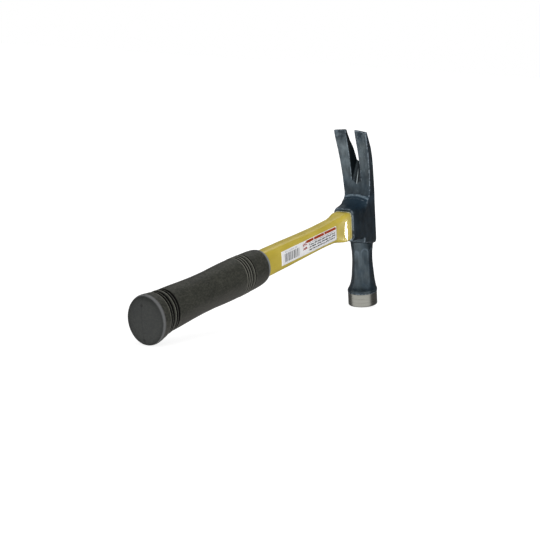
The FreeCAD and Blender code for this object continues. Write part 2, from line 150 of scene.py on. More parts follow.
REAR_GROOVES = (-334.6, -338.2, -343.8, -347.6)
FRONT_DEPTH = 0.85
REAR_DEPTH = 1.35
FRONT_REACH = 0.65
REAR_REACH = 1.1
LIP_HEIGHT = 0.25
LIP_GAP = 0.95

LABEL_PLACES = (-156.0, -57.0)
LABEL_HEIGHTS = (80.8, 94.4)
LABEL_LIFT = 0.14
LABEL_SINK = 0.05

# The bead follows the jacket's outline at BEAD_RING, tucked in a little, and swells and thins.
BEAD_RING = -33.0
BEAD_TUCK = 0.1
BEAD_LIFT = 0.2
BEAD_RADIUS = 0.4
BEAD_SWELL = 0.12
BEAD_RIPPLE = 0.06
BEAD_FLATNESS = 0.75


# ---------------------------------------------------------------- curves and meshes

def smooth_through(xs, ys, at):
    """A cubic through the points that never overshoots between them."""
    order = np.argsort(xs)
    xs = np.asarray(xs, float)[order]
    ys = np.asarray(ys, float)[order]
    at = np.clip(np.asarray(at, float), xs[0], xs[-1])
    step = np.diff(xs)
    slope = np.diff(ys) / step
    tangent = np.zeros_like(ys)
    tangent[0] = slope[0]
    tangent[-1] = slope[-1]
    before = slope[:-1]
    after = slope[1:]
    rising = before * after > 0
    product = np.where(rising, before * after, 1.0)
    mean = product * 3 * (step[:-1] + step[1:])
    mean /= (2 * step[1:] + step[:-1]) * np.where(rising, after, 1.0) + (
        step[1:] + 2 * step[:-1]) * np.where(rising, before, 1.0)
    tangent[1:-1] = np.where(rising, mean, 0.0)
    index = np.clip(np.searchsorted(xs, at) - 1, 0, len(step) - 1)
    width = step[index]
    u = (at - xs[index]) / width
    rest = 1 - u
    return (rest * rest * (1 + 2 * u) * ys[index] + u * u * (3 - 2 * u) * ys[index + 1]
            + u * rest * rest * width * tangent[index] - u * u * rest * width * tangent[index + 1])


def add_attribute(mesh, name, values):
    """Keep one number for each point of a mesh, for a material to read."""
    attribute = mesh.attributes.new(name, "FLOAT", "POINT")
    attribute.data.foreach_set("value", np.asarray(values, np.float32))


def add_mesh(name, points, faces, material):
    """A mesh object from head-frame points. Its attribute "place" keeps those points, in
    millimetres, for the materials to read."""
    points = np.asarray(points, float)
    mesh = bpy.data.meshes.new(name)
    mesh.from_pydata(points.tolist(), [], [list(map(int, face)) for face in faces])
    attribute = mesh.attributes.new("place", "FLOAT_VECTOR", "POINT")
    attribute.data.foreach_set("vector", points.astype(np.float32).ravel())
    mesh.transform(HEAD_TO_ROW @ Matrix.Scale(MM, 4))
    mesh.shade_smooth()
    mesh.materials.append(material)
    mesh.update()
    piece = bpy.data.objects.new(name, mesh)
    bpy.context.collection.objects.link(piece)
    return piece


def tube_faces(rings, around):
    """Quads between rings of points, and one flat face at each end."""
    index = np.arange(rings * around).reshape(rings, around)
    right = np.roll(index, -1, axis=1)
    quads = np.stack([index[:-1], right[:-1], right[1:], index[1:]], axis=-1).reshape(-1, 4).tolist()
    return [index[0][::-1].tolist()] + quads + [index[-1].tolist()]


# ---------------------------------------------------------------- solid fields for the forging

# The grid, how widely each edge and join is rounded off, and how the fillet between collar and
# block widens with height.
STEP = 0.5
FIELD_LOW = np.array((-32.0, -20.0, 11.0))
FIELD_HIGH = np.array((17.5, 20.0, 180.0))
LEAST_STEEPNESS = 0.35
FLAT_ROUND = 0.3
NECK_ROUND = 0.45
INNER_ROUND = 1.0
CROWN_ROUND = 0.9
BODY_ROUND = 0.4
TIP_ROUND = 0.9
FOOT_ROUND = 1.5
RIM_ROUND = 1.2
NECK_FILLET = 1.6
SLOT_ROUND = 0.7
EYE_ROUND = 0.5
FILLET_HEIGHTS = (95.0, 104.0)
FILLETS = (0.6, 5.0)


def soft_max(a, b, reach):
    """The larger of two fields, rounded off where they are nearly equal."""
    gap = np.maximum(reach - np.abs(a - b), 0) / reach
    return np.maximum(a, b) + gap * gap * reach / 4


def soft_min(a, b, reach):
    """The smaller of two fields, rounded off in the same way."""
    return -soft_max(-a, -b, reach)


def as_distance(field):
    """Scale a field so that it counts millimetres near its surface."""
    steep = np.sqrt(sum(part * part for part in np.gradient(field, STEP)))
    return field / np.maximum(steep, LEAST_STEEPNESS)


def rounded_box_field(across, up, half_across, half_up, corner):
    """How far each spot lies outside a bar with rounded corners, seen along the handle."""
    out_across = np.abs(across) - (half_across - corner)
    out_up = np.abs(up) - (half_up - corner)
    outside = np.hypot(np.maximum(out_across, 0), np.maximum(out_up, 0))
    return outside + np.minimum(np.maximum(out_across, out_up), 0) - corner


def neck_shapes(x, y, z):
    """How far each spot lies outside the turned neck, and outside its eight flats."""
    x = x - smooth_through(BELL_HEIGHTS, BELL_MIDDLE, z)
    turned = np.hypot(x, y) - smooth_through(BELL_HEIGHTS, BELL_RADII, z)
    flats = np.abs(x) - BACK_FLAT_EXTRA
    for turn in range(1, 4):
        angle = turn * math.pi / 4
        cut = CORNER_FLAT_CUT * (turn % 2)
        flats = soft_max(flats, np.abs(x * math.cos(angle) + y * math.sin(angle)) + cut, FLAT_ROUND)
    return turned, flats - smooth_through(FLAT_HEIGHTS, FLAT_REACHES, z)


def neck_field(x, y, z):
    """The turned neck, with eight flats ground on it."""
    turned, flats = neck_shapes(x, y, z)
    neck = soft_max(as_distance(turned), as_distance(flats), NECK_ROUND)
    return np.maximum(neck, z - NECK_TOP)


def block_field(x, y, z):
    """The eye block and the claw above it."""
    half = smooth_through(BLOCK_HEIGHTS, BLOCK_HALF, z)
    edge = smooth_through(BLOCK_HEIGHTS, BLOCK_EDGE, z)
    crown = smooth_through(BLOCK_HEIGHTS, BLOCK_CROWN, z)
    share = np.minimum(np.abs(y) / half, 1.3)
    inner = smooth_through(INNER_HEIGHTS, INNER_FACE, z + ROOT_SAG * share ** 2)
    front = as_distance(inner - x)
    back = as_distance(x - crown + (crown - edge) * share ** CROWN_POWER)
    sides = as_distance(np.abs(y) - half)
    top = z - TINE_TOP + TINE_SLOPE * np.abs(y)
    body = soft_max(soft_max(front, sides, INNER_ROUND), soft_max(back, sides, CROWN_ROUND), BODY_ROUND)
    body = soft_max(body, top, TIP_ROUND)
    return soft_max(body, BLOCK_FOOT - BLOCK_FOOT_SLOPE * x - z, FOOT_ROUND)


def collar_field(x, y, z):
    """The collar that reaches out round the handle."""
    low = smooth_through(COLLAR_PLACES, COLLAR_LOW, x)
    high = smooth_through(COLLAR_PLACES, COLLAR_HIGH, x)
    half = smooth_through(COLLAR_PLACES, COLLAR_HALF, x)
    wall = rounded_box_field(y, z - (low + high) / 2, half, (high - low) / 2, COLLAR_CORNER)
    wall = soft_max(as_distance(wall), RIM_PLANE - x, RIM_ROUND)
    return np.maximum(wall, x - COLLAR_END)


def slot_half(x, z):
    """Half width of the slot at each x and z, from its two outlines joined by straight lines."""
    share = np.maximum((x - SLOT_PLANES[0]) / (SLOT_PLANES[1] - SLOT_PLANES[0]), 0)
    knots = []
    for near, far in zip(SLOT_NEAR, SLOT_FAR):
        knots.append(((1 - share) * near[0] + share * far[0], (1 - share) * near[1] + share * far[1]))
    (foot, _), (corner, corner_half), (tip, tip_half) = knots
    wedge = corner_half * (z - foot) / (corner - foot)
    body = corner_half + (tip_half - corner_half) * (z - corner) / (tip - corner)
    return np.where(z < corner, wedge, body)


def eye_field(x, y, z):
    """The tapering hole for the handle."""
    share = (x - EYE_PLACES[0]) / (EYE_PLACES[1] - EYE_PLACES[0])
    half, low, high = ((1 - share) * pair[0] + share * pair[1] for pair in (EYE_HALF, EYE_LOW, EYE_HIGH))
    return rounded_box_field(y, z - (low + high) / 2, half, (high - low) / 2, EYE_CORNER)


def forging_field():
    """The whole painted forging on the grid."""
    axes = [np.arange(low, high + STEP, STEP) for low, high in zip(FIELD_LOW, FIELD_HIGH)]
    x, y, z = (grid.astype(np.float32) for grid in np.meshgrid(*axes, indexing="ij"))
    share = np.clip((z - FILLET_HEIGHTS[0]) / (FILLET_HEIGHTS[1] - FILLET_HEIGHTS[0]), 0, 1)
    fillet = FILLETS[0] + (FILLETS[1] - FILLETS[0]) * share
    solid = soft_min(block_field(x, y, z), collar_field(x, y, z), fillet)
    solid = soft_min(solid, neck_field(x, y, z), NECK_FILLET)
    solid = soft_max(solid, -as_distance(np.abs(y) - slot_half(x, z)), SLOT_ROUND)
    solid = soft_max(solid, -eye_field(x, y, z), EYE_ROUND)
    return np.maximum(solid, PAINT_LINE - z)


def sample(field, spots):
    """Read a field between its grid points."""
    top = np.array(field.shape) - 2
    base = np.clip(np.floor(spots).astype(int), 0, top)
    part = spots - base
    value = 0.0
    for corner in np.ndindex(2, 2, 2):
        weight = np.prod(np.where(corner, part, 1 - part), axis=1)
        value = value + weight * field[tuple((base + corner).T)]
    return value


def net_round(field):
    """Quads round the solid where the field is negative, one point to each cell that it crosses."""
    cells = tuple(length - 1 for length in field.shape)
    corners = list(np.ndindex(2, 2, 2))

    def at(corner):
        return field[tuple(slice(first, first + count) for first, count in zip(corner, cells))]

    inside = sum((at(corner) < 0).astype(np.int8) for corner in corners)
    active = (inside > 0) & (inside < 8)
    number = np.full(cells, -1)
    base = np.argwhere(active)
    number[active] = np.arange(len(base))
    total = np.zeros((len(base), 3))
    count = np.zeros(len(base))
    for start in corners:
        for axis in range(3):
            if start[axis]:
                continue
            end = tuple(1 if index == axis else value for index, value in enumerate(start))
            first = at(start)[active]
            last = at(end)[active]
            crossed = (first < 0) != (last < 0)
            share = np.where(crossed, first / np.where(crossed, first - last, 1), 0)
            spot = np.array(start) + share[:, None] * np.eye(3)[axis]
            total += np.where(crossed[:, None], spot, 0)
            count += crossed
    points = base + total / count[:, None]
    faces = []
    for axis in range(3):
        here = [slice(1, -1)] * 3
        here[axis] = slice(0, -1)
        there = list(here)
        there[axis] = slice(1, None)
        first = field[tuple(here)]
        last = field[tuple(there)]
        second, third = (axis + 1) % 3, (axis + 2) % 3
        for flip, crossed in ((False, (first < 0) & (last >= 0)), (True, (first >= 0) & (last < 0))):
            spot = np.argwhere(crossed) + [0 if index == axis else 1 for index in range(3)]
            ring = []
            for back_second, back_third in ((0, 0), (1, 0), (1, 1), (0, 1)):
                cell = spot.copy()
                cell[:, second] -= back_second
                cell[:, third] -= back_third
                ring.append(number[tuple(cell.T)])
            quads = np.stack(ring[::-1] if flip else ring, axis=1)
            faces.append(quads)
    return points, np.concatenate(faces)


def relax(points, faces, field, rounds=3):
    """Even the points out, then pull them back onto the surface."""
    slope = np.gradient(field)
    for _ in range(rounds):
        total = np.zeros_like(points)
        count = np.zeros(len(points))
        for shift in range(4):
            here = faces[:, shift]
            for other in (faces[:, (shift + 1) % 4], faces[:, (shift + 3) % 4]):
                np.add.at(total, here, points[other])
                np.add.at(count, here, 1)
        points = 0.5 * points + 0.5 * total / count[:, None]
        for _ in range(2):
            normal = np.stack([sample(part, points) for part in slope], axis=1)
            steep = np.maximum((normal ** 2).sum(axis=1), 1e-4)
            move = -sample(field, points) / steep
            points = points + np.clip(move, -1, 1)[:, None] * normal
    return points


# ---------------------------------------------------------------- pieces

def make_forging(material):
    """The painted part of the head, with how sharply its surface bends in the attribute "edge",
    the walls of the nail slot marked in "slot", and how deep the neck's flats cut in "flat"."""
    field = forging_field()
    points, faces = net_round(field)
    points = relax(points, faces, field)
    bend = sum(np.gradient(np.gradient(field, STEP, axis=axis), STEP, axis=axis) for axis in range(3))
    edge = sample(bend, points)
    spots = FIELD_LOW + points * STEP
    spots[:, 2] = np.maximum(spots[:, 2], PAINT_LINE)
    piece = add_mesh("head_forging", spots, faces, material)
    add_attribute(piece.data, "edge", edge)
    x, y, z = spots.T
    wall = np.clip(1 - (np.abs(y) - slot_half(x, z)) / SLOT_EDGE, 0, 1) * (z > SLOT_NEAR[0][0] - 1)
    add_attribute(piece.data, "slot", wall)
    turned, flats = neck_shapes(x, y, z)
    add_attribute(piece.data, "flat", np.clip(flats - turned, -2, 2))
    return piece


def make_striking_face(material):
    """The bare turned end: a flat face, a rolled edge and the ground band up to the paint."""
    outline = [(radius, 0.0) for radius in FACE_RINGS]
    for turn in range(9):
        angle = turn / 8 * math.pi / 2
        outline.append((FACE_FLAT_RADIUS + FACE_EDGE * math.sin(angle), FACE_EDGE * (1 - math.cos(angle))))
    outline += [(FACE_RADIUS, height) for height in BAND_HEIGHTS]
    outline += [(radius, BAND_TOP) for radius in BAND_TOP_RADII]
    around = 128
    angles = np.arange(around) / around * 2 * math.pi
    points = []
    for radius, height in outline:
        points.append(np.stack([radius * np.cos(angles), radius * np.sin(angles),
                                np.full(around, height)], axis=1))
    rings = np.array(points)
    faces = tube_faces(len(rings), around)
    return add_mesh("striking_face", rings.reshape(-1, 3), faces, material)


def rounded_ring(angles, power):
    """Two coordinates round a rounded square of half width 1, squarer for a higher power."""
    return [np.sign(part) * np.abs(part) ** (2 / power) for part in (np.cos(angles), np.sin(angles))]


def jacket_ring(place, angles, lift=0.0):
    """Points round the jacket at one place along it. Towards the head the corners flare first, and
    a steep facet then lifts the middle of each cheek to the shoulder."""
    tall = smooth_through(JACKET_PLACES, JACKET_TALL, place) + lift
    centre = smooth_through(JACKET_PLACES, JACKET_CENTRE, place)
    flare = np.clip((place - SHOULDER_START) / (SHOULDER_PLACE - SHOULDER_START), 0, 1) ** FLARE_POWER
    across, up = rounded_ring(angles, JACKET_POWER + (SHOULDER_POWER - JACKET_POWER) * flare)
    height = centre + tall * up
    corner = np.clip(((height - SHOULDER_MIDDLE) / SHOULDER_REACH) ** 2, 0, 1)
    flared = JACKET_HALF + (SHOULDER_HALF - JACKET_HALF) * corner * flare
    flared = flared - SHOULDER_DIP * (1 - corner) * flare
    facet = SHOULDER_HALF - SHOULDER_RISE * max(SHOULDER_PLACE - place, 0)
    half = np.maximum(flared, facet) + lift
    return np.stack([np.full(len(angles), place), across * half, height], axis=1)


def make_jacket(material):
    """The moulding from inside the grip to its nose inside the eye."""
    around = 240
    angles = (np.arange(around) + 0.5) / around * 2 * math.pi
    places = np.concatenate([np.arange(-356.0, -190.0, 6.0), np.arange(-190.0, -60.0, 1.5),
                             np.arange(-60.0, -32.8, 0.3)])
    rings = [jacket_ring(place, angles) for place in places]
    across, up = rounded_ring(angles, SHOULDER_POWER)
    for place, half, tall in NOSE:
        rings.append(np.stack([np.full(around, place), across * half, EYE_MIDDLE + up * tall], axis=1))
    points = np.array(rings)
    faces = tube_faces(len(points), around)
    return add_mesh("jacket_moulding", points.reshape(-1, 3), faces, material)


def groove_depth(place):
    """How deep the rings cut at each place along the grip, below 0 on the lips beside them."""
    depth = 0.0
    for grooves, deep, reach in ((FRONT_GROOVES, FRONT_DEPTH, FRONT_REACH),
                                 (REAR_GROOVES, REAR_DEPTH, REAR_REACH)):
        for centre in grooves:
            depth = depth + deep * np.exp(-((place - centre) / reach) ** 2)
            lip = place - centre + reach + LIP_GAP
            depth = depth - LIP_HEIGHT * np.exp(-(lip / FRONT_REACH) ** 2)
    return depth


def make_grip(material):
    """The rubber sleeve, with the depth of its rings in the attribute "groove"."""
    around = 160
    angles = np.arange(around) / around * 2 * math.pi
    mouth = np.linspace(GRIP_MOUTH, GRIP_MOUTH_END, 16)
    sleeve = np.arange(GRIP_MOUTH_END - 0.4, BUTT_START, -0.4)
    dome = BUTT_START - BUTT_DEPTH * np.sin(np.linspace(0, math.pi / 2, 44))
    places = np.concatenate([mouth, sleeve, dome])
    rings = []
    for place in places:
        tall = smooth_through(GRIP_PLACES, GRIP_TALL, place) - groove_depth(place)
        middle = smooth_through(GRIP_MIDDLE_PLACES, GRIP_MIDDLE, place)
        rings.append(np.stack([np.full(around, place), GRIP_OVALITY * tall * np.cos(angles),
                               middle + tall * np.sin(angles)], axis=1))
    points = np.array(rings)
    faces = [face[::-1] for face in tube_faces(len(points), around)]
    piece = add_mesh("grip_sleeve", points.reshape(-1, 3), faces, material)
    add_attribute(piece.data, "groove", np.repeat(groove_depth(places), around))
    return piece


def make_label(material):
    """A thin film that follows the near cheek of the jacket."""
    long_count, tall_count = 100, 16
    places = np.linspace(*LABEL_PLACES, long_count)
    heights = np.linspace(*LABEL_HEIGHTS, tall_count)
    front = []
    back = []
    for place in places:
        tall = smooth_through(JACKET_PLACES, JACKET_TALL, place)
        centre = smooth_through(JACKET_PLACES, JACKET_CENTRE, place)
        share = np.clip(np.abs(heights - centre) / tall, 0, 0.999)
        half = JACKET_HALF * (1 - share ** JACKET_POWER) ** (1 / JACKET_POWER)
        for side, lift in ((front, LABEL_LIFT), (back, -LABEL_SINK)):
            side.append(np.stack([np.full(tall_count, place), -half - lift, heights], axis=1))
    front = np.array(front)
    back = np.array(back)
    points = np.concatenate([front.reshape(-1, 3), back.reshape(-1, 3)])
    index = np.arange(long_count * tall_count).reshape(long_count, tall_count)
    offset = long_count * tall_count
    faces = []
    for a, b, c, d in zip(index[:-1, :-1].ravel(), index[1:, :-1].ravel(), index[1:, 1:].ravel(),
                          index[:-1, 1:].ravel()):
        faces.append((a, b, c, d))
        faces.append((d + offset, c + offset, b + offset, a + offset))
    border = np.concatenate([index[:, 0], index[-1, 1:], index[-2::-1, -1], index[0, -2:0:-1]])
    for first, second in zip(border, np.roll(border, -1)):
        faces.append((second, first, first + offset, second + offset))
    return add_mesh("label_film", points, faces, material)


def make_bead(material):
    """A thin uneven bead laid round the handle on the rim of the eye."""
    long_count, around = 220, 14
    angles = np.arange(long_count) / long_count * 2 * math.pi
    path = jacket_ring(BEAD_RING, angles, lift=-BEAD_TUCK)
    path[:, 0] = RIM_PLANE - BEAD_LIFT
    middle = np.array((RIM_PLANE, 0.0, EYE_MIDDLE))
    outward = path - middle
    outward[:, 0] = 0
    outward /= np.linalg.norm(outward, axis=1)[:, None]
    rings = []
    for turn, angle in enumerate(angles):
        swell = BEAD_RADIUS + BEAD_SWELL * math.sin(3 * angle + 0.7) + BEAD_RIPPLE * math.sin(11 * angle)
        phase = np.arange(around) / around * 2 * math.pi
        spots = path[turn] + np.outer(np.cos(phase) * swell, outward[turn])
        spots[:, 0] -= BEAD_FLATNESS * swell * np.sin(phase)
        rings.append(spots)
    rings = np.array(rings)
    index = np.arange(long_count * around).reshape(long_count, around)
    right = np.roll(index, -1, axis=1)
    ahead = np.roll(index, -1, axis=0)
    both = np.roll(right, -1, axis=0)
    faces = np.stack([index, ahead, both, right], axis=-1).reshape(-1, 4)
    return add_mesh("resin_bead", rings.reshape(-1, 3), faces, material)


# ---------------------------------------------------------------- materials

class Shader:
    """A short way to lay out the nodes of one material."""

    def __init__(self, name, **values):
        self.material = bpy.data.materials.new(name)
        self.material.use_nodes = True
        self.tree = self.material.node_tree
        self.surface = self.tree.nodes["Principled BSDF"]
        for socket, value in values.items():
            self.surface.inputs[socket.replace("_", " ")].default_value = value
        place = self.tree.nodes.new("ShaderNodeAttribute")
        place.attribute_name = "place"
        self.place = place.outputs["Vector"]

    def node(self, kind, outputs=0, sockets=(), **settings):
        """A new node with its settings made and its sockets fed, as the output that is wanted."""
        node = self.tree.nodes.new(kind)
        for key, value in settings.items():
            setattr(node, key, value)
        for key, value in dict(sockets).items():
            self.feed(node.inputs[key], value)
        return node.outputs[outputs]

    def feed(self, socket, value):
        """Give a socket a constant, or link the output of another node to it."""
        if isinstance(value, bpy.types.NodeSocket):
            self.tree.links.new(value, socket)
        else:
            socket.default_value = value

    def noise(self, scale, detail=3.0, stretch=(1, 1, 1)):
        """A cloud with so many lumps to the millimetre, more of them where it is stretched."""
        vector = self.node("ShaderNodeVectorMath", operation="MULTIPLY", sockets={0: self.place, 1: stretch})
        return self.node("ShaderNodeTexNoise", sockets={"Vector": vector, "Scale": scale, "Detail": detail})

    def attribute(self, name):
        """A number that the mesh keeps for each point."""
        return self.node("ShaderNodeAttribute", outputs="Fac", attribute_name=name)

    def math(self, operation, *values):
        return self.node("ShaderNodeMath", operation=operation, sockets=dict(enumerate(values)))

    def product(self, first, *others):
        for other in others:
            first = self.math("MULTIPLY", first, other)
        return first

    def ramp(self, value, low, high, start=0.0, end=1.0):
        """From start to end while the value goes from low to high, and level beyond them."""
        return self.node("ShaderNodeMapRange", clamp=True, sockets={
            "Value": value, "From Min": low, "From Max": high, "To Min": start, "To Max": end})

    def window(self, value, low, low_full, high_full, high):
        """1 between the two inner values, fading to 0 at the outer ones."""
        return self.product(self.ramp(value, low, low_full), self.ramp(value, high_full, high, 1.0, 0.0))

    def layer(self, base, tint, *shares):
        """A colour laid over the base, as thick as the product of the shares."""
        return self.blend(self.product(*shares), base, colour(*tint))

    def blend(self, share, first, second):
        """The first colour where the share is 0 and the second where it is 1."""
        node = self.tree.nodes.new("ShaderNodeMix")
        node.data_type = "RGBA"
        self.feed(node.inputs["Factor"], share)
        self.feed(node.inputs["A"], first)
        self.feed(node.inputs["B"], second)
        return node.outputs["Result"]

    def bump(self, height, strength, distance, normal=None):
        """A relief, with its distance in millimetres, on top of another one if that is given."""
        sockets = {"Height": height, "Strength": strength, "Distance": distance * MM}
        if normal is not None:
            sockets["Normal"] = normal
        return self.node("ShaderNodeBump", sockets=sockets)

    def set(self, socket, value):
        """Feed a socket of the surface."""
        self.feed(self.surface.inputs[socket], value)

    def axis(self, name):
        """The place along the head's own X, Y or Z, in millimetres."""
        return self.node("ShaderNodeSeparateXYZ", outputs=name, sockets={0: self.place})


def colour(red, green, blue):
    """A linear colour from display values between 0 and 255."""
    parts = []
    for value in (red, green, blue):
        share = value / 255
        parts.append(share / 12.92 if share <= 0.04045 else ((share + 0.055) / 1.055) ** 2.4)
    return (*parts, 1.0)


# Where the paint of the forging changes, with bands of painted light and highlight among them: heights up
# the head, except for the root's places along the handle. Four values fade in and out, and two fade one way.
LIT_LEDGE_HEIGHTS = (101.0, 107.0, 110.6, 112.0)
SCUFF_HEIGHTS = (115.0, 165.0)
CHIP_HEIGHTS = (112.0, 125.0)
SLOT_HIGHLIGHT_HEIGHTS = (137.0, 130.0)
ROOT_LINE = (110.4, 111.2, 112.0, 112.6)
ROOT_PLACES = (-2.0, -2.8)
ROOT_HALF = 14.0
FLAT_RIM_HIGHLIGHT_HEIGHTS = (17.0, 22.0, 60.0, 63.5)
RUN_OUT_HEIGHTS = (44.0, 56.0)
CLAW_SHINE_HEIGHTS = (112.0, 165.0)
NECK_SHINE_HEIGHTS = (70.0, 104.0)
BELL_SHINE_HEIGHTS = (12.0, 36.0)
TINE_HEIGHTS = (118.0, 128.0)
TIP_HEIGHTS = (160.0, 170.0)


def forging_paint():
    """Satin blue paint over a scaled forging, thin and pale where edges and tips are rubbed, with the pale
    edges also standing in for painted highlights, painted shade in the nail slot and painted light and
    highlights on the claw's root and the neck's flats.
    """
    shader = Shader("forging_paint", IOR=1.7)
    shader.set("Specular Tint", (0.78, 0.93, 1.0, 1.0))
    along, across, height = (shader.axis(name) for name in "XYZ")
    edge, slot, flat = (shader.attribute(name) for name in ("edge", "slot", "flat"))
    patches = shader.ramp(shader.noise(0.09, 5.0), 0.36, 0.64)
    broken = shader.ramp(shader.noise(0.45, 5.0), 0.42, 0.56)

    base = shader.blend(patches, colour(8, 19, 27), colour(18, 34, 46))
    # Painted light: a lighter band over the fillet below the claw's root.
    base = shader.layer(base, (40, 57, 70), 0.7, shader.window(height, *LIT_LEDGE_HEIGHTS))
    # Pale rubbed edges, which also serve as painted highlights along the edges.
    base = shader.layer(base, (132, 142, 152), 0.6, shader.ramp(edge, 0.3, 0.9), broken)
    streaks = shader.ramp(shader.noise(1.0, 4.0, stretch=(1.5, 1.5, 0.12)), 0.6, 0.7)
    base = shader.layer(base, (150, 160, 166), 0.35, streaks, shader.ramp(height, *SCUFF_HEIGHTS))
    chips = shader.ramp(shader.noise(0.2, 2.0), 0.7, 0.73)
    base = shader.layer(base, (140, 158, 164), 0.7, chips, shader.ramp(height, *CHIP_HEIGHTS))
    # Painted shade: the walls of the nail slot are darkened as if in shadow.
    base = shader.layer(base, (18, 24, 28), slot)

    # Painted highlights: the bright line along the bottom of the slot, and the light curve across the claw's
    # root.
    slot_bottom_highlight = shader.ramp(shader.math("ABSOLUTE", across), 0.3, 0.6, 0.9, 0.0)
    base = shader.layer(base, (150, 158, 162), slot_bottom_highlight, slot, shader.ramp(height, *SLOT_HIGHLIGHT_HEIGHTS))
    sag = shader.math("MULTIPLY_ADD", shader.product(across, across), ROOT_SAG / ROOT_HALF ** 2, height)
    # Painted highlight across the claw's root, broken up by noise.
    root_highlight = shader.ramp(broken, 0.0, 1.0, 0.3, 0.65)
    base = shader.layer(base, (128, 144, 156), root_highlight, shader.window(sag, *ROOT_LINE),
                        shader.ramp(along, *ROOT_PLACES))

    # Painted highlights on the rims of the neck's flats, strongest where the flats run out below the eye
    # block.
    rim = shader.ramp(shader.math("ABSOLUTE", flat), 0.05, 0.32, 1.0, 0.0)
    base = shader.layer(base, (100, 114, 128), rim, shader.window(height, *FLAT_RIM_HIGHLIGHT_HEIGHTS),
                        shader.ramp(height, *RUN_OUT_HEIGHTS, 0.07, 0.36),
                        shader.ramp(shader.noise(0.4, 4.0), 0.35, 0.6, 0.45, 1.0))
    shader.set("Base Color", base)

    # The claw shines most, above all its far tine, and the slot and the ends of the tines least.
    shine = shader.math("ADD", shader.ramp(height, *CLAW_SHINE_HEIGHTS, 0.24, 0.68),
                        shader.ramp(height, *NECK_SHINE_HEIGHTS, 0.2, 0.0))
    far_tine = shader.product(shader.ramp(across, 0.0, 6.0, 0.0, 0.42), shader.ramp(height, *TINE_HEIGHTS))
    rough = shader.ramp(shader.noise(0.16, 3.0), 0.36, 0.52, 0.2, 0.75)
    tips = shader.product(shader.ramp(height, *TIP_HEIGHTS), rough)
    shine = shader.product(
        shine,
        shader.ramp(height, *BELL_SHINE_HEIGHTS, 0.72, 1.0),
        shader.math("ADD", far_tine, 1.0),
        shader.ramp(shader.noise(0.16, 5.0, stretch=(1, 1, 0.4)), 0.38, 0.6, 0.62, 1.15),
        shader.math("SUBTRACT", 1.0, tips),
        shader.math("SUBTRACT", 1.0, shader.product(slot, 0.84)))
    shader.set("Specular IOR Level", shine)
    shader.set("Roughness", shader.ramp(shader.noise(0.35, 5.0), 0.3, 0.7, 0.28, 0.46))
    coarse = shader.bump(shader.noise(0.22, 4.0), 0.55, 0.6)
    forged = shader.bump(shader.noise(1.0, 3.0, stretch=(0.9, 0.9, 0.07)), 0.25, 0.35, coarse)
    shader.set("Normal", shader.bump(shader.noise(1.6, 3.0), 0.15, 0.25, forged))
    return shader.material


def ground_steel():
    """Bare steel with the fine turning marks of the grinding wheel round it."""
    shader = Shader("ground_steel", Metallic=1.0)
    rings = shader.noise(1.0, 4.0, stretch=(0.04, 0.04, 7.0))
    base = shader.blend(shader.ramp(rings, 0.3, 0.7), colour(118, 117, 111), colour(138, 138, 132))
    shader.set("Base Color", base)
    shader.set("Roughness", shader.ramp(rings, 0.3, 0.7, 0.26, 0.34))
    shader.set("Normal", shader.bump(rings, 0.12, 0.03))
    return shader.material


def jacket_plastic():
    """Smooth yellow moulding, with the faint lengthways marks of the fibre under its skin."""
    shader = Shader("jacket_plastic", IOR=1.5)
    cloud = shader.ramp(shader.noise(0.06, 4.0), 0.35, 0.65)
    base = shader.blend(cloud, colour(199, 178, 63), colour(210, 189, 77))
    fibres = shader.noise(1.0, 4.0, stretch=(0.05, 1.2, 1.2))
    base = shader.blend(shader.ramp(fibres, 0.5, 0.75, 0.0, 0.25), base, colour(184, 172, 58))
    shader.set("Base Color", base)
    shader.set("Roughness", shader.ramp(fibres, 0.3, 0.7, 0.26, 0.36))
    shader.set("Normal", shader.bump(fibres, 0.08, 0.12))
    return shader.material


# Places along the grip, and heights across it, where its colour changes, painted light and highlights among
# them.
BUTT_PLACES = (-363.0, -361.0)
BUTT_RIM_HIGHLIGHT = (-363.2, -361.8, -360.4, -358.6)
MOUTH_RIM_HIGHLIGHT = (-187.0, -185.4)
UNDERSIDE_LIGHT_PLACES = (-362.0, -358.0)
UNDERSIDE_LIGHT_HEIGHTS = (88.0, 74.0)


